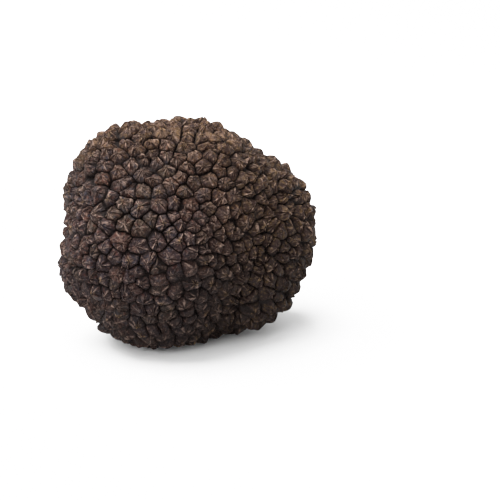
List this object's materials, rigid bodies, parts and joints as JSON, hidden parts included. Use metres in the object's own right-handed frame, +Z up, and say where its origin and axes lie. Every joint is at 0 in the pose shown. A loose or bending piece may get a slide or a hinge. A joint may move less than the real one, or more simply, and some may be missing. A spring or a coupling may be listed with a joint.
{
  "type": "black truffle",
  "caption": "Whole black truffle: a lumpy dark brown fruiting body covered in pyramid-shaped warts with grooves between them, resting on a small flat spot.",
  "frame": {"origin": "on the flat spot that the truffle rests on, under its weight", "axes": "+X along the longest extent, to the right in the picture; -Y towards the viewer; +Z up"},
  "size_m": [0.0642, 0.0559, 0.0557],
  "materials": {
    "peridium": "matte, dry and warty"
  },
  "bodies": {
    "root": {"truffle": "peridium"}
  },
  "joints": []
}
